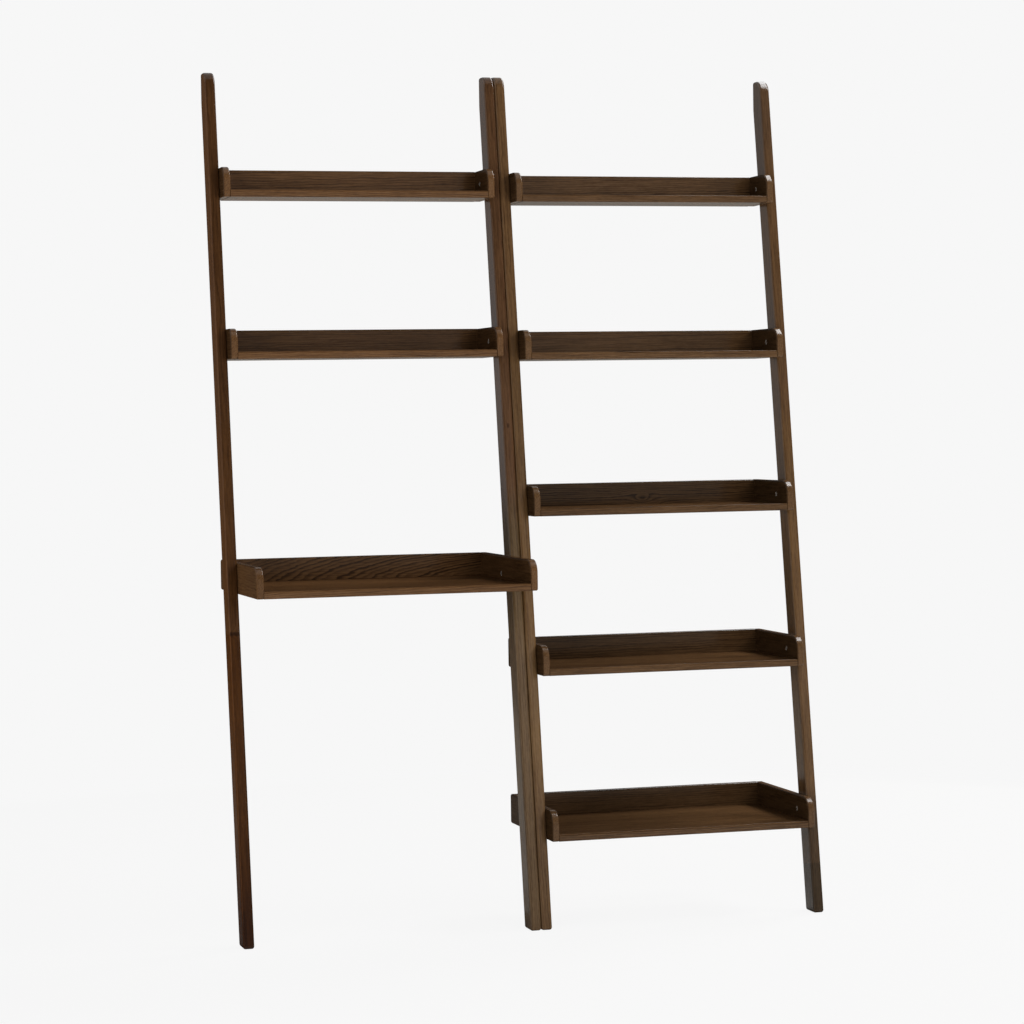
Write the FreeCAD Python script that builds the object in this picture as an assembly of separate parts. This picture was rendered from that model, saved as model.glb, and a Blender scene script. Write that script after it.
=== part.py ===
import FreeCAD, Part
import math
import os

# Leaning ladder desk and bookcase: two bays of trays hung between pairs of leaning uprights.
# Frame: +Z up, floor at Z = 0, the wall plane on +Y, the user in front on -Y, X along the wall
# with X = 0 midway between the two bays. Millimetres and degrees.

# ---- overall form ----
HEIGHT = 1900.0             # floor to crown
LEAN = 8.5                  # uprights lean back from plumb
UPRIGHT_THICK = 24.0        # along X
UPRIGHT_WIDTH = 53.0        # square to the lean
WALL_CUT = 65.0             # height of the plumb cut that lies on the wall
CROWN_R = 30.0              # rounded front of the crown
CROWN_BACK_R = 6.0
HEEL_R = 6.0                # sole corners and the knee above the plumb cut
UPRIGHT_EASE = 5.0          # rounding along all long edges
BAY_CLEAR = 615.0           # between a bay's two uprights
BAY_GAP = 0.8               # between the two bays

# ---- trays ----
TRAY_HEIGHT = 67.0          # cheeks and back rail
STOCK = 16.0                # boards, cheeks and rails
NOSE = 44.7                 # tray front ahead of the upright's front edge ...
NOSE_LEVEL = 30.0           # ... measured this far above the tray's underside
NOSE_R = 30.0               # cheek, top front corner
CORNER_R = 6.0              # cheek, the other corners
TRAY_EASE = 3.0             # rounding of cheek, board and rail edges
GROOVE_DEPTH = 5.0          # board tongue let into the rail
GROOVE_HEIGHT = 6.0
WRITING_DEPTH = 424.5       # the desk tray, front to wall

# undersides above the floor
DESK_TOP_Z = 1619.0
DESK_MIDDLE_Z = 1263.0
DESK_WRITING_Z = 753.0
CASE_1_Z = 1611.0
CASE_2_Z = 1255.0
CASE_3_Z = 906.0
CASE_4_Z = 555.0
CASE_5_Z = 195.0

# ---- hardware: one countersunk socket bolt and one locating dowel per cheek ----
BOLT_RISE = 36.0            # bolt above a tray's underside
WRITING_BOLT_RISE = 27.0
BOLT_SETBACK = 24.0         # behind the upright's front edge
BOLT_D = 6.0
BOLT_HOLE_D = 6.4
BOLT_LENGTH = 28.0
HEAD_D = 10.5
SOCKET_AF = 4.0
SOCKET_DEPTH = 2.4
INSERT_D = 9.0
INSERT_LENGTH = 13.0
INSERT_HOLE = 14.0
DOWEL_D = 8.0
DOWEL_IN_CHEEK = 8.0
DOWEL_IN_UPRIGHT = 11.0
DOWEL_RISE = 18.0           # above the bolt, along the lean

V = FreeCAD.Vector
ALONG_X = V(1, 0, 0)
SLOPE = math.tan(math.radians(LEAN))
UPRIGHT_LEVEL = UPRIGHT_WIDTH / math.cos(math.radians(LEAN))
WALL_Y = WRITING_DEPTH / 2
FOOT_Y = WALL_Y - UPRIGHT_LEVEL - SLOPE * (HEIGHT - WALL_CUT)
BAY_WIDTH = BAY_CLEAR + 2 * UPRIGHT_THICK


def front_edge(z):
    """Y of the uprights' front edge at height z."""
    return FOOT_Y + SLOPE * z


def rounded_wire(corners):
    """Closed wire in the YZ plane from (y, z, corner radius) entries."""
    entries = []
    count = len(corners)
    for i, (y, z, r) in enumerate(corners):
        here = V(0, y, z)
        before = V(0, *corners[i - 1][:2]) - here
        after = V(0, *corners[(i + 1) % count][:2]) - here
        before.normalize()
        after.normalize()
        half = before.getAngle(after) / 2
        reach = r / math.tan(half)
        bisector = before + after
        bisector.normalize()
        crest = here + bisector * (r / math.sin(half) - r)
        entries.append((here + before * reach, crest, here + after * reach))
    edges = []
    for i, (start, crest, end) in enumerate(entries):
        edges.append(Part.Arc(start, crest, end).toShape())
        edges.append(Part.makeLine(end, entries[(i + 1) % count][0]))
    return Part.Wire(edges)


def eased_plank(corners, x0, thick, ease):
    """Profile in YZ, thickness along X, both outlines rounded over."""
    solid = Part.Face(rounded_wire(corners)).extrude(V(thick, 0, 0))
    rim = [e for e in solid.Edges if e.BoundBox.XLength < 1e-6]
    solid = solid.makeFillet(ease, rim)
    solid.translate(V(x0, 0, 0))
    return solid


def cylinder(x, y, z, d, length, side):
    """Cylinder from the plane x, running towards +X (side = 1) or -X (side = -1)."""
    return Part.makeCylinder(d / 2, length, V(x, y, z), ALONG_X * side)


def revolved(profile, x, y, z, side):
    """Turn (distance, radius) points about an axis through (y, z), from the plane x."""
    points = [V(x + side * a, y + r, z) for a, r in profile]
    face = Part.Face(Part.makePolygon(points + points[:1]))
    solid = face.revolve(V(x, y, z), ALONG_X, 360)
    return Part.Solid(solid.Shells[0]) if solid.Volume > 0 else solid.reversed()


def bolt(x, y, z, side):
    """Countersunk bolt, head flush with the plane x, shank towards side."""
    sink = (HEAD_D - BOLT_D) / 2
    tip = BOLT_D / 6
    solid = revolved([(0, 0), (0, HEAD_D / 2), (sink, BOLT_D / 2), (BOLT_LENGTH - tip, BOLT_D / 2),
                      (BOLT_LENGTH, BOLT_D / 2 - tip), (BOLT_LENGTH, 0)], x, y, z, side)
    corner = SOCKET_AF / 2 / math.cos(math.pi / 6)
    hexagon = [V(x, y + corner * math.cos(k * math.pi / 3), z + corner * math.sin(k * math.pi / 3))
               for k in range(6)]
    socket = Part.Face(Part.makePolygon(hexagon + hexagon[:1])).extrude(ALONG_X * side * SOCKET_DEPTH)
    return solid.cut(socket)


def countersunk_hole(x, y, z, side):
    """Through hole of a cheek with the seat of the bolt's head at the plane x."""
    sink = (HEAD_D - BOLT_HOLE_D) / 2
    seat = Part.makeCone(HEAD_D / 2, BOLT_HOLE_D / 2, sink, V(x, y, z), ALONG_X * side)
    return seat.fuse(cylinder(x, y, z, BOLT_HOLE_D, STOCK, side))


def insert(x, y, z, side):
    """Threaded sleeve let into an upright, its mouth at the plane x."""
    ring = cylinder(x, y, z, INSERT_D, INSERT_LENGTH, side)
    return ring.cut(cylinder(x, y, z, BOLT_D, INSERT_LENGTH, side))


def upright(x0, seats, side):
    """Leaning upright; seats are bolt points, its tray side faces side (1 = +X, -1 = -X)."""
    body = eased_plank([
        (front_edge(0), 0, HEEL_R),
        (front_edge(HEIGHT), HEIGHT, CROWN_R),
        (WALL_Y, HEIGHT, CROWN_BACK_R),
        (WALL_Y, HEIGHT - WALL_CUT, HEEL_R),
        (front_edge(0) + UPRIGHT_LEVEL, 0, HEEL_R)], x0, UPRIGHT_THICK, UPRIGHT_EASE)
    face = x0 + UPRIGHT_THICK if side > 0 else x0
    for y, z in seats:
        body = body.cut(cylinder(face, y, z, INSERT_D, INSERT_HOLE, -side))
        body = body.cut(cylinder(face, *dowel_point(y, z), DOWEL_D, DOWEL_IN_UPRIGHT, -side))
    return body


def bolt_point(z, rise):
    return front_edge(z + rise) + BOLT_SETBACK, z + rise


def dowel_point(y, z):
    lean = math.radians(LEAN)
    return y + DOWEL_RISE * math.sin(lean), z + DOWEL_RISE * math.cos(lean)


def cheek(x0, front, z, seat, side):
    """Tray end; side is the direction of its upright (1 = +X, -1 = -X)."""
    top = z + TRAY_HEIGHT
    body = eased_plank([
        (front, z, CORNER_R), (front, top, NOSE_R),
        (WALL_Y, top, CORNER_R), (WALL_Y, z, CORNER_R)], x0, STOCK, TRAY_EASE)
    inner, outer = (x0, x0 + STOCK) if side > 0 else (x0 + STOCK, x0)
    body = body.cut(countersunk_hole(inner, *seat, side))
    return body.cut(cylinder(outer, *dowel_point(*seat), DOWEL_D, DOWEL_IN_CHEEK, -side))


def tongue(x0, length, z, depth):
    base = z + (STOCK - GROOVE_HEIGHT) / 2
    return Part.makeBox(length, depth, GROOVE_HEIGHT, V(x0, WALL_Y - STOCK, base))


def long_edges(solid, length, keep):
    """Edges that run the whole length along X and whose middle passes keep(y, z)."""
    found = []
    for edge in solid.Edges:
        middle = edge.BoundBox.Center
        if edge.BoundBox.XLength > length - 1 and keep(middle.y, middle.z):
            found.append(edge)
    return found


def board(x0, front, z):
    length = BAY_CLEAR - 2 * STOCK
    slab = Part.makeBox(length, WALL_Y - STOCK - front, STOCK, V(x0 + STOCK, front, z))
    slab = slab.makeFillet(TRAY_EASE, long_edges(slab, length, lambda y, _: y < front + 1))
    return slab.fuse(tongue(x0 + STOCK, length, z, GROOVE_DEPTH))


def rail(x0, z):
    length = BAY_CLEAR - 2 * STOCK
    plank = Part.makeBox(length, STOCK, TRAY_HEIGHT, V(x0 + STOCK, WALL_Y - STOCK, z))
    upper = long_edges(plank, length, lambda _, h: h > z + TRAY_HEIGHT - 1)
    plank = plank.makeFillet(TRAY_EASE, upper)
    return plank.cut(tongue(x0 + STOCK, length, z, GROOVE_DEPTH))


def build_tray(name, x0, z, rise=BOLT_RISE, depth=None):
    """Four wooden pieces and the two bolts of the tray whose left outer face is at x0."""
    front = WALL_Y - depth if depth else front_edge(z + NOSE_LEVEL) - NOSE
    seat = bolt_point(z, rise)
    right = x0 + BAY_CLEAR - STOCK
    nodes[name + "_board"] = board(x0, front, z)
    nodes[name + "_rail"] = rail(x0, z)
    nodes[name + "_cheek_left"] = cheek(x0, front, z, seat, -1)
    nodes[name + "_cheek_right"] = cheek(right, front, z, seat, 1)
    nodes[name + "_bolts"] = Part.Compound([bolt(x0 + STOCK, *seat, -1), bolt(right, *seat, 1)])
    return seat


def build_bay(name, x0, seats):
    """Two uprights with the inserts and locating dowels for the bolt points in seats."""
    left = x0 + UPRIGHT_THICK
    right = left + BAY_CLEAR
    nodes[name + "_upright_left"] = upright(x0, seats, 1)
    nodes[name + "_upright_right"] = upright(right, seats, -1)
    inserts, dowels = [], []
    for seat in seats:
        inserts += [insert(left, *seat, -1), insert(right, *seat, 1)]
        y, z = dowel_point(*seat)
        span = DOWEL_IN_CHEEK + DOWEL_IN_UPRIGHT
        dowels.append(cylinder(left + DOWEL_IN_CHEEK, y, z, DOWEL_D, span, -1))
        dowels.append(cylinder(right - DOWEL_IN_CHEEK, y, z, DOWEL_D, span, 1))
    nodes[name + "_inserts"] = Part.Compound(inserts)
    nodes[name + "_dowels"] = Part.Compound(dowels)


nodes = {}

desk_x = -BAY_GAP / 2 - BAY_WIDTH
desk_tray_x = desk_x + UPRIGHT_THICK
build_bay("desk", desk_x, [
    build_tray("desk_top_shelf", desk_tray_x, DESK_TOP_Z),
    build_tray("desk_middle_shelf", desk_tray_x, DESK_MIDDLE_Z),
    build_tray("desk_writing_tray", desk_tray_x, DESK_WRITING_Z, WRITING_BOLT_RISE, WRITING_DEPTH)])

case_x = BAY_GAP / 2
case_tray_x = case_x + UPRIGHT_THICK
build_bay("case", case_x, [
    build_tray("case_tray_1", case_tray_x, CASE_1_Z),
    build_tray("case_tray_2", case_tray_x, CASE_2_Z),
    build_tray("case_tray_3", case_tray_x, CASE_3_Z),
    build_tray("case_tray_4", case_tray_x, CASE_4_Z),
    build_tray("case_tray_5", case_tray_x, CASE_5_Z)])

os.makedirs("parts", exist_ok=True)
for node, shape in nodes.items():
    shape.exportStep("parts/" + node + ".step")
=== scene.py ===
import bpy
import bmesh
import math
from mathutils import Matrix, Vector


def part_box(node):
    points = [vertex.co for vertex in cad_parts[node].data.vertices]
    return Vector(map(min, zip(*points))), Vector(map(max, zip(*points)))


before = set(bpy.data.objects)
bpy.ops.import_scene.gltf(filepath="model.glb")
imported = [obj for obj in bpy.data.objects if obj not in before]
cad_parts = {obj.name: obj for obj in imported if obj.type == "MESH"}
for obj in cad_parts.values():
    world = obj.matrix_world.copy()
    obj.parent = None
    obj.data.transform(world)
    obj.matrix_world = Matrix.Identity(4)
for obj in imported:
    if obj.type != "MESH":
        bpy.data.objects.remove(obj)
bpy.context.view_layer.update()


# ---- Uprights ----
# Four leaning bars of solid ash, planed, rounded over and given a dark walnut stain under a
# satin lacquer. The grain runs up the lean. The bars are finger-jointed from long pieces. Their
# tone changes along them, sharply at some heights and softly at others, partly where pieces
# meet and partly as painted light and shade: darker at the feet, paler and greyer low down, and
# darker higher up.

LEAN = math.radians(8.5)

# The stain on early wood, between and on late wood, and a ring's width in metres.
STAIN_LIGHT = (0.122, 0.062, 0.026)
STAIN_MIDDLE = (0.076, 0.037, 0.015)
STAIN_DARK = (0.030, 0.014, 0.006)
RING = 0.0042

# How far the rings wander across the face, through the piece and in small waves, in metres.
WANDER_ACROSS = 0.030
WANDER_THROUGH = 0.022
WAVES = 0.0072

# How much of the way from light to dark stain each part of the grain goes.
LATE_WOOD = 0.38
PORES = 0.22
STREAKS = 0.38
FLECKS = 0.55
CLOUDS = 0.50
KNOT_CORE = 0.64

# How far, in knot sizes, the grain flows round a knot and the knot's own branch reaches, how
# strongly the rings follow them, and the share of a distance along the grain that counts.
KNOT_FLOW = 1.8
KNOT_BRANCH = 0.6
KNOT_PULL = 0.9
KNOT_ALONG = 0.5

# Glued strips: how far apart along the grain they are cut, how much the darkest is darkened,
# and to what.
STRIP_SHIFT = 1.7
STRIP_SHARE = 0.30
STRIP_DARK = (0.62, 0.60, 0.60)

# The lacquer: its weight and gloss, how much less there is in the clouds of the grain, where it
# is rubbed and on a face that looks left.
LACQUER = 0.50
LACQUER_ROUGHNESS = 0.17
LACQUER_IOR = 1.5
LACQUER_CLOUDS = 0.12
RUBBED_AWAY = 0.80
FACE_THINNING = 0.75

# The wood under it: its roughness and how uneven that is, and its open pores, in metres.
WOOD_ROUGHNESS = 0.50
WOOD_UNEVENNESS = 0.14
PORE_DEPTH = 0.00025
PORE_STRENGTH = 0.14

# Where the painted shade or light of a face that looks left begins to fade and has faded, in
# metres in from the face.
FACE_SHADING_DEPTH = (0.0005, 0.0035)


class Field:
    """A number that changes over a surface: a node socket with Python's operators."""

    def __init__(self, graph, socket):
        self.graph = graph
        self.socket = socket

    def maths(self, operation, *others):
        sockets = dict(enumerate((self,) + others))
        return self.graph.node("ShaderNodeMath", {"operation": operation}, sockets).out()

    def __add__(self, other):
        return self.maths("ADD", other)

    def __sub__(self, other):
        return self.maths("SUBTRACT", other)

    def __rsub__(self, other):
        settings = {"operation": "SUBTRACT"}
        return self.graph.node("ShaderNodeMath", settings, {0: other, 1: self}).out()

    def __mul__(self, other):
        return self.maths("MULTIPLY", other)

    def __truediv__(self, other):
        return self.maths("DIVIDE", other)

    def __pow__(self, other):
        return self.maths("POWER", other)

    __radd__ = __add__
    __rmul__ = __mul__

    def floor(self):
        return self.maths("FLOOR")

    def above(self, limit):
        return self.maths("GREATER_THAN", limit)

    def fade(self, low, high):
        """0 below low, 1 above high, smooth between."""
        settings = {"interpolation_type": "SMOOTHSTEP"}
        sockets = {"Value": self, "From Min": low, "From Max": high}
        return self.graph.node("ShaderNodeMapRange", settings, sockets).out()

    def hill(self, width):
        """1 where this squared distance is 0, falling away over width."""
        return (self * (-0.5 / width ** 2)).maths("EXPONENT")


class Placed:
    """A node in a graph, and the values that come out of it."""

    def __init__(self, graph, node):
        self.graph = graph
        self.made = node

    def out(self, name=0):
        return Field(self.graph, self.made.outputs[name])


class Graph:
    """Adds nodes to a material's or world's tree."""

    def __init__(self, owner):
        owner.use_nodes = True
        self.tree = owner.node_tree

    def link(self, source, socket):
        self.tree.links.new(source.socket, socket)

    def node(self, kind, settings=None, sockets=None):
        """Sets a new node up first, and then its sockets, to numbers, colours or links."""
        made = self.tree.nodes.new(kind)
        for key, value in (settings or {}).items():
            if key == "stops":
                ramp = made.color_ramp.elements
                while len(ramp) < len(value):
                    ramp.new(0.5)
                for element, (place, colour) in zip(ramp, value):
                    element.position = place
                    element.color = (*colour, 1)
            else:
                setattr(made, key, value)
        for key, value in (sockets or {}).items():
            if isinstance(value, Field):
                self.link(value, made.inputs[key])
            else:
                made.inputs[key].default_value = value
        return Placed(self, made)

    def vector(self, x, y, z):
        return self.node("ShaderNodeCombineXYZ", None, {"X": x, "Y": y, "Z": z}).out()

    def parts(self, vector):
        """The three numbers of a vector."""
        split = self.node("ShaderNodeSeparateXYZ", None, {0: vector})
        return split.out("X"), split.out("Y"), split.out("Z")

    def noise(self, place, scale, detail, rough):
        sockets = {"Vector": place, "Scale": scale, "Detail": detail, "Roughness": rough}
        return self.node("ShaderNodeTexNoise", {"noise_dimensions": "3D"}, sockets).out("Fac")

    def white(self, place):
        """A steady random value from 0 to 1 for each place."""
        settings = {"noise_dimensions": "3D"}
        return self.node("ShaderNodeTexWhiteNoise", settings, {"Vector": place}).out("Value")

    def mix(self, factor, first, second, blend="MIX"):
        """Colours: first where factor is 0, second where it is 1."""
        first = first if isinstance(first, Field) else (*first, 1)
        second = second if isinstance(second, Field) else (*second, 1)
        settings = {"data_type": "RGBA", "blend_type": blend}
        return self.node("ShaderNodeMix", settings, {0: factor, 6: first, 7: second}).out(2)


def object_place(graph):
    return graph.node("ShaderNodeTexCoord").out("Object")


def grain_axes(graph, run):
    """Along the grain, across the wide face and through the thickness, in metres."""
    x, y, z = graph.parts(object_place(graph))
    if run == "up the lean":
        along = z * math.cos(LEAN) + y * math.sin(LEAN)
        return along, y * math.cos(LEAN) - z * math.sin(LEAN), x
    if run == "board":
        return x, y, z
    if run == "rail":
        return x, z, y
    return y, z, x


def stained_wood(name, run, heart, tone, warmth, drift, figure, joints=(), staves=None,
                 knot=None, rubbed=None, left_face=None):
    """Open-grained wood, cut heart = (across, through) metres from the middle of its rings.

    tone and warmth shift the stain. drift is how far the rings run out of the face per metre
    and figure how dark their late wood is. joints are (height, change of colour
    above it, half the height over which it changes), partly where pieces meet and partly painted
    light and shade. staves is the width of glued strips. knot is (place along the grain, place
    across the face or through the piece, which of the two, size). The lacquer is thin above the
    height rubbed. left_face is (x of the face that looks left, how much of its colour
    that face keeps): painted shade, or painted light where it is above 1. The lacquer is thin
    there too."""
    material = bpy.data.materials.new(name)
    graph = Graph(material)
    shader = graph.tree.nodes["Principled BSDF"].inputs
    along, across, through = grain_axes(graph, run)
    seed = heart[0] * 37 + heart[1] * 53

    strip = None
    if staves:
        strip = graph.white(graph.vector((across / staves).floor(), seed, 0.5))
        along = along + strip * STRIP_SHIFT

    def grain(along_scale, cross_scale, detail, rough, shift=0.0):
        """Noise from 0 to 1, drawn out along the grain."""
        place = graph.vector(along * along_scale, across * cross_scale,
                             through * cross_scale + shift)
        return graph.noise(place, 1.0, detail, rough)

    wander = grain(1.6, 5.0, 2.0, 0.55, seed) - 0.5
    wave = grain(15.0, 52.0, 3.0, 0.6, seed) - 0.5
    side = across - heart[0] + wander * WANDER_ACROSS
    depth = through - heart[1] + along * drift + wander * WANDER_THROUGH
    radius = (side * side + depth * depth) ** 0.5 + wave * WAVES
    if knot:
        knot_along, knot_place, direction, size = knot
        ahead = (along - knot_along) * KNOT_ALONG
        aside = (across if direction == "across" else through) - knot_place
        spread = ahead * ahead + aside * aside
        flow = spread.hill(KNOT_FLOW * size)
        branch = spread.hill(KNOT_BRANCH * size)
        radius = radius - aside * flow * KNOT_PULL + branch * size * KNOT_PULL

    # A year's wood darkens slowly and ends sharply, and some years are darker than others.
    rings = radius / RING
    ring = rings.floor()
    phase = rings - ring
    late = phase.fade(0.25, 0.90) * (1 - phase.fade(0.90, 1.0))
    late = late * (0.35 + 1.1 * graph.white(graph.vector(ring, seed, 0.3)))

    pore = grain(30.0, 1300.0, 2.0, 0.55).fade(0.52, 0.68)
    streak = grain(13.0, 330.0, 3.0, 0.65).fade(0.34, 0.70)
    fleck = grain(85.0, 430.0, 2.0, 0.6) - 0.5
    cloud = grain(3.0, 11.0, 3.0, 0.5, seed) - 0.5

    shade = late * LATE_WOOD * figure + pore * PORES + streak * STREAKS
    shade = shade + fleck * FLECKS + cloud * CLOUDS
    if knot:
        shade = shade + branch.fade(0.72, 0.99) * KNOT_CORE
    light, middle, dark = (tuple(c * tone * w for c, w in zip(stain, (warmth, 1.0, 1 / warmth)))
                           for stain in (STAIN_LIGHT, STAIN_MIDDLE, STAIN_DARK))
    stops = [(0.0, light), (0.45, middle), (1.0, dark)]
    colour = graph.node("ShaderNodeValToRGB", {"stops": stops}, {"Fac": shade}).out("Color")
    if strip:
        colour = graph.mix(strip * STRIP_SHARE, colour, STRIP_DARK, "MULTIPLY")
    # Steps in colour along the grain: partly where pieces meet, partly painted light and shade.
    for height, change, blend in joints:
        beyond = along.fade(height - blend, height + blend)
        colour = graph.mix(beyond, colour, change, "MULTIPLY")

    lacquer = LACQUER - cloud * LACQUER_CLOUDS
    if rubbed:
        above = through.fade(rubbed - 0.001, rubbed + 0.001)
        lacquer = lacquer * (1 - RUBBED_AWAY * above)
    # Painted shade on the face that looks left, or painted light where the share is above 1. The
    # lacquer is thinned there too.
    if left_face:
        face, shading_share = left_face
        on_face = 1 - (through - face).fade(*FACE_SHADING_DEPTH)
        colour = graph.mix(on_face, colour, (shading_share,) * 3, "MULTIPLY")
        lacquer = lacquer * (1 - FACE_THINNING * on_face)
    graph.link(colour, shader["Base Color"])
    roughness = WOOD_ROUGHNESS + pore * WOOD_UNEVENNESS + cloud * WOOD_UNEVENNESS
    graph.link(roughness, shader["Roughness"])
    graph.link(lacquer, shader["Coat Weight"])
    shader["Specular IOR Level"].default_value = 0.0
    shader["Coat Roughness"].default_value = LACQUER_ROUGHNESS
    shader["Coat IOR"].default_value = LACQUER_IOR
    relief = {"Strength": PORE_STRENGTH, "Distance": PORE_DEPTH,
              "Height": pore * -1.0 + late * 0.35}
    graph.link(graph.node("ShaderNodeBump", None, relief).out("Normal"), shader["Normal"])
    return material


def finish(node, material):
    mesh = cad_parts[node].data
    mesh.materials.clear()
    mesh.materials.append(material)


def finish_upright(node, heart, **stain):
    finish(node, stained_wood("wood_" + node, "up the lean", heart, **stain))


# Each bar's colour steps are partly where its pieces meet and partly painted light and shade.
finish_upright(
    "desk_upright_left", (-0.30, -0.71), tone=0.20, warmth=1.60, drift=0.02, figure=0.6,
    joints=((0.13, (1.90, 2.15, 1.75), 0.14), (0.66, (1.12, 1.34, 2.11), 0.003),
            (1.12, (0.91, 0.92, 0.975), 0.05)),
    knot=(0.659, -0.114, "across", 0.006),
    # Painted light on this bar's side that looks left.
    left_face=(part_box("desk_upright_left")[0][0], 1.9))
finish_upright(
    "desk_upright_right", (-0.16, 0.06), tone=1.50, warmth=0.81, drift=0.03, figure=0.5,
    joints=((0.64, (0.80, 0.79, 0.685), 0.06), (0.92, (0.82, 0.65, 0.655), 0.08)),
    knot=(1.104, -0.0124, "through", 0.0080))
finish_upright(
    "case_upright_left", (-0.22, 0.10), tone=1.46, warmth=0.876, drift=0.02, figure=0.6,
    joints=((0.30, (1.18, 1.19, 1.10), 0.08), (0.62, (0.874, 0.82, 0.733), 0.05),
            (0.93, (0.72, 0.72, 0.76), 0.08), (1.30, (1.20, 1.19, 1.24), 0.03)))
finish_upright(
    "case_upright_right", (-0.12, 0.74), tone=0.52, warmth=0.80, drift=0.03, figure=0.45,
    joints=((0.095, (1.48, 1.39, 1.36), 0.002), (0.24, (1.92, 1.78, 1.53), 0.05),
            (0.64, (0.935, 0.893, 0.77), 0.05), (1.10, (0.83, 0.83, 0.95), 0.06),
            (1.72, (0.84, 0.88, 1.03), 0.08)))


# ---- Trays ----
# Shallow open boxes: a board between two cheeks, with a rail at the back on the board's tongue.
# Boards are glued up from strips, rails and cheeks are single pieces, and all have the
# uprights' stain. The grain runs along each piece.

TRAYS = [name.removesuffix("_board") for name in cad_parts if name.endswith("_board")]
PLAIN_SAWN = "desk_writing_tray"
KNOTTY = "case_tray_3"

# The width of a board's glued strips, and how far below its top the lacquer is worn thin.
STAVE = 0.068
RUBBED_DEPTH = 0.004

# Warmth of each bay's stain, and the tones of each tray's rail, board, left and right cheek.
# The rails' tones are partly painted shade, mostly darker in the lower trays, as under the trays
# above.
WARMTH = {"desk": 1.0, "case": 0.94}
TONES_AND_SHADE = {
    "desk_top_shelf": (0.98, 1.33, 1.20, 1.20),
    "desk_middle_shelf": (0.68, 1.36, 1.20, 1.20),
    "desk_writing_tray": (0.93, 1.30, 1.06, 1.32),
    "case_tray_1": (0.97, 1.09, 1.12, 1.16),
    "case_tray_2": (0.83, 1.20, 1.12, 1.16),
    "case_tray_3": (0.59, 0.96, 1.10, 1.14),
    "case_tray_4": (0.68, 1.10, 1.10, 1.14),
    "case_tray_5": (0.60, 1.10, 1.08, 1.10)}

# Painted shade on the sides that look left: how much of their colour they keep. The writing
# tray's left cheek is painted lighter instead.
LEFT_SIDE_SHADE = 0.52
LEFT_SIDE_SHADINGS = {"desk_writing_tray_cheek_left": 1.18, "desk_writing_tray_cheek_right": 0.60}

for order, tray in enumerate(sorted(TRAYS)):
    low, high = (Vector(corner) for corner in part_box(tray + "_board"))
    warmth = WARMTH[tray[:4]]
    # The rail's tone holds painted shade as well as its stain.
    rail_tone_and_shade, board_tone, *cheek_tones = TONES_AND_SHADE[tray]
    swing = math.sin(order * 2.4)  # so that no two trays are cut alike

    board = tray + "_board"
    finish(board, stained_wood(
        "wood_" + board, "board", (low.y - 0.05, low.z - 0.11 - 0.03 * swing), board_tone, warmth,
        drift=0.03 * swing, figure=1.0, staves=STAVE, rubbed=high.z - RUBBED_DEPTH))

    rail = tray + "_rail"
    heart, drift, figure = (low.z - 0.075, high.y + 0.075 + 0.02 * swing), 0.02, 1.0
    if tray == PLAIN_SAWN:
        heart, drift, figure = (low.z - 0.010, high.y + 0.030), 0.16, 2.2
    knot = None
    if tray == KNOTTY:
        figure, knot = 1.6, (0.349, 0.9365, "across", 0.0095)
    finish(rail, stained_wood("wood_" + rail, "rail", heart, rail_tone_and_shade, warmth, drift, figure,
                              knot=knot))

    for side, inward, tone in zip(("left", "right"), (1, -1), cheek_tones):
        cheek = tray + "_cheek_" + side
        # Painted shade on the side of the cheek that looks left.
        left_face = (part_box(cheek)[0][0], LEFT_SIDE_SHADINGS.get(cheek, LEFT_SIDE_SHADE))
        finish(cheek, stained_wood(
            "wood_" + cheek, "cheek", (low.z - 0.05, low.x + inward * 0.06), tone, warmth,
            drift=0.03, figure=0.45, left_face=left_face))


# ---- Hardware ----
# Countersunk zinc-plated bolts with a hexagon socket hold each cheek to its upright. They
# screw into plated sleeves let into the uprights, beside plain beech locating dowels.

BOLT_ZINC = (0.50, 0.47, 0.43)
SLEEVE_ZINC = (0.45, 0.423, 0.387)
DULL_ZINC = 0.72
BEECH = (0.55, 0.37, 0.22)
DARK_BEECH = (0.385, 0.259, 0.154)


def plated_steel(name, colour):
    material = bpy.data.materials.new(name)
    graph = Graph(material)
    shader = graph.tree.nodes["Principled BSDF"].inputs
    mottle = graph.noise(object_place(graph), 900.0, 3.0, 0.6)
    dull = tuple(c * DULL_ZINC for c in colour)
    graph.link(graph.mix(mottle, colour, dull), shader["Base Color"])
    graph.link(0.34 + mottle * 0.20, shader["Roughness"])
    shader["Metallic"].default_value = 1.0
    return material


def plain_beech(name):
    material = bpy.data.materials.new(name)
    graph = Graph(material)
    shader = graph.tree.nodes["Principled BSDF"].inputs
    x, y, z = graph.parts(object_place(graph))
    fleck = graph.noise(graph.vector(x * 60, y * 900, z * 900), 1.0, 2.0, 0.6)
    graph.link(graph.mix(fleck, BEECH, DARK_BEECH), shader["Base Color"])
    graph.link(0.55 + fleck * 0.15, shader["Roughness"])
    return material


HARDWARE = {
    "_bolts": plated_steel("zinc_bolts", BOLT_ZINC),
    "_inserts": plated_steel("zinc_sleeves", SLEEVE_ZINC),
    "_dowels": plain_beech("beech_dowels")}

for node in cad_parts:
    for ending, material in HARDWARE.items():
        if node.endswith(ending):
            finish(node, material)


# ---- Studio ----
# A white sweep lies under and round the set, and four softboxes stand in front, at the left,
# at the right and behind. The bright and dark zones of the room and three canopies overhead
# show only as reflections.

WHITE = (0.93, 0.93, 0.93)
ROOM = (0.04, 0.04, 0.04)

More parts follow.
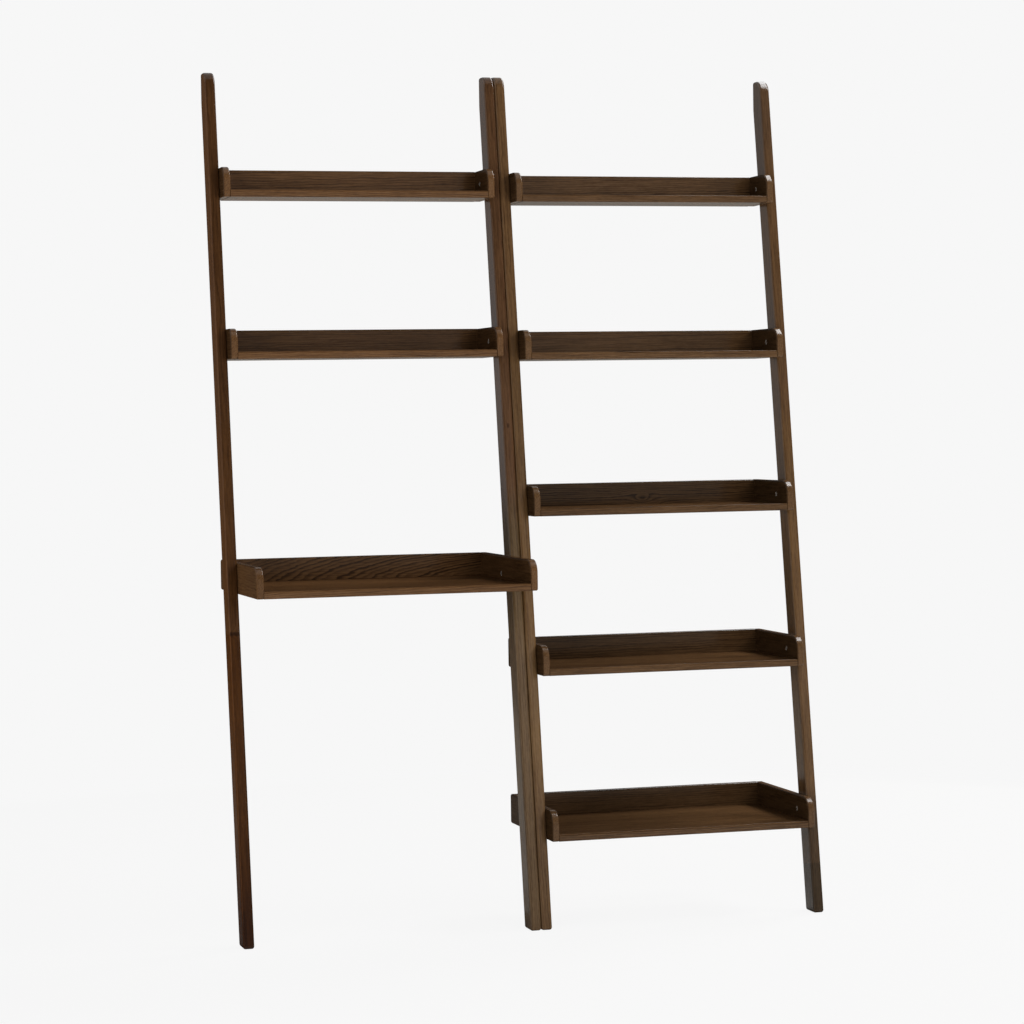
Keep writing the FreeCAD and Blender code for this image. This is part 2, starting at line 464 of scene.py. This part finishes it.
# The sweep glows by itself far from the set, and to the camera nearly everywhere. Close by it
# is matt and takes the set's shadow. In reflections it is a warm grey, dark at its left end.
SWEEP_SPAN = 60.0
SHADOW_REACH = (1.1, 2.86)
SEEN_GLOW = 0.95
MATT_GLOW = 0.48
MATT_WHITE = (0.82, 0.82, 0.82, 1)
MIRRORED_SWEEP = (0.56, 0.53, 0.48)
MIRRORED_END = (0.05, 0.05, 0.05)
SWEEP_END = (-1.7, -1.0)

sweep_mesh = bpy.data.meshes.new("floor")
bm = bmesh.new()
bmesh.ops.create_grid(bm, x_segments=1, y_segments=1, size=SWEEP_SPAN / 2)
bm.to_mesh(sweep_mesh)
bm.free()
sweep = bpy.data.objects.new("floor", sweep_mesh)
bpy.context.scene.collection.objects.link(sweep)
sweep_mesh.materials.append(bpy.data.materials.new("floor"))

graph = Graph(sweep_mesh.materials[0])
rays = graph.node("ShaderNodeLightPath")
spot = object_place(graph)
reach = graph.node("ShaderNodeVectorMath", {"operation": "LENGTH"}, {0: spot}).out("Value")
own_light = reach.fade(*SHADOW_REACH).maths("MAXIMUM", rays.out("Is Camera Ray") * SEEN_GLOW)
mirrored = graph.mix(graph.parts(spot)[0].fade(*SWEEP_END), MIRRORED_END, MIRRORED_SWEEP)
glow = graph.node("ShaderNodeEmission", None, {
    "Color": graph.mix(rays.out("Is Glossy Ray"), WHITE, mirrored),
    "Strength": 1 + (1 - own_light) * MATT_GLOW}).out()
matt = graph.node("ShaderNodeBsdfDiffuse", None, {"Color": MATT_WHITE}).out()
topside = graph.node("ShaderNodeMixShader", None, {0: own_light, 1: matt, 2: glow}).out()
clear = graph.node("ShaderNodeBsdfTransparent").out()
from_below = graph.node("ShaderNodeNewGeometry").out("Backfacing")
surface = graph.node("ShaderNodeMixShader", None, {0: from_below, 1: topside, 2: clear}).out()
graph.link(surface, graph.tree.nodes["Material Output"].inputs["Surface"])

world = bpy.data.worlds.new("room")
bpy.context.scene.world = world
graph = Graph(world)
right, back, up = graph.parts(graph.node("ShaderNodeTexCoord").out("Generated"))
left = right * -1
rays = graph.node("ShaderNodeLightPath")

# The room's zones, each by the directions in which it lies and its brightness.
ceiling = back.fade(-0.62, -0.34) * up.fade(0.28, 0.52) * 1.1
back_wall = left.fade(0.19, 0.26) * (1 - left.fade(0.28, 0.38) * 0.35)
back_wall = back_wall * back.fade(0.80, 0.92) * 0.60
left_wall = left.fade(0.40, 0.60) * back.fade(-0.75, -0.55) * 1.2
front_wall = (1 - back.fade(-0.93, -0.85)) * (1 - up.fade(0.12, 0.25)) * 0.25
front_band = right.fade(0.20, 0.27) * up.fade(0.12, 0.17) * (1 - up.fade(0.235, 0.285)) * 0.85
front_band = front_band * (1 - back.fade(-0.90, -0.80))
zones = 0.06 + ceiling + (back_wall + left_wall) + front_wall + front_band

seen = rays.out("Is Camera Ray").maths("MAXIMUM", rays.out("Is Transmission Ray"))
bright = seen + rays.out("Is Glossy Ray") * zones
background = graph.tree.nodes["Background"].inputs
graph.link(graph.mix(bright.above(0.0), ROOM, WHITE), background["Color"])
graph.link(bright + rays.out("Is Diffuse Ray"), background["Strength"])


def softbox(name, size, watts, colour, place, tip, turn=0.0, mirrored_only=False):
    """A lamp, tipped up from facing down and turned about Z, that lights the set, or one that
    only shows in its gloss. Sizes and places in metres, angles in degrees."""
    lamp = bpy.data.lights.new(name, "AREA")
    lamp.shape = "RECTANGLE"
    lamp.size, lamp.size_y = size
    lamp.energy = watts
    lamp.color = colour
    holder = bpy.data.objects.new(name, lamp)
    holder.location = place
    holder.rotation_euler = (math.radians(tip), 0, math.radians(turn))
    holder.visible_camera = False
    holder.visible_glossy = mirrored_only
    holder.visible_diffuse = not mirrored_only
    bpy.context.scene.collection.objects.link(holder)


SQUARE_BOX = (1.5, 1.5)
WARM_LAMP = (1.0, 0.98, 0.95)
COOL_LAMP = (0.95, 0.98, 1.0)

softbox("front", SQUARE_BOX, 70, WARM_LAMP, (1.1534, -4.3044, 1.6263), 82, 15)
softbox("left", SQUARE_BOX, 52, WARM_LAMP, (-3.151, -3.151, 1.6263), 82, -45)
softbox("right", SQUARE_BOX, 100, WARM_LAMP, (3.4252, -0.9178, 3.7705), 52, 75)
softbox("behind", SQUARE_BOX, 120, WARM_LAMP, (3.1924, 1.8431, 3.5811), 55, 120)
softbox("canopy front", (0.95, 1.5), 88, COOL_LAMP, (1.575, -0.175, 3.35), 60,
        mirrored_only=True)
softbox("canopy top", (0.85, 2.22), 74, COOL_LAMP, (1.75, 1.3, 4.15), 7.764,
        mirrored_only=True)
softbox("canopy back", (0.9, 1.5), 16, COOL_LAMP, (1.75, 2.45, 3.55), -86.173,
        mirrored_only=True)

# The camera's place, turn, tilt and roll, and a lens for a 36 mm wide frame.
CAMERA_PLACE = (-1.8161, -6.3708, 1.1275)
CAMERA_TURN = 0.2747
CAMERA_TILT = -0.0318
CAMERA_ROLL = -0.0159
CAMERA_LENS = 104.863
CAMERA_FRAME = 36.0

camera_data = bpy.data.cameras.new("camera")
camera_data.sensor_width = CAMERA_FRAME
camera_data.lens = CAMERA_LENS
camera = bpy.data.objects.new("camera", camera_data)
turn = Matrix.Rotation(-CAMERA_TURN, 4, "Z")
tilt = Matrix.Rotation(math.pi / 2 + CAMERA_TILT, 4, "X")
roll = Matrix.Rotation(CAMERA_ROLL, 4, "Z")
camera.matrix_world = Matrix.Translation(CAMERA_PLACE) @ turn @ tilt @ roll
bpy.context.scene.collection.objects.link(camera)
bpy.context.scene.camera = camera

bpy.context.scene.view_settings.view_transform = "Standard"
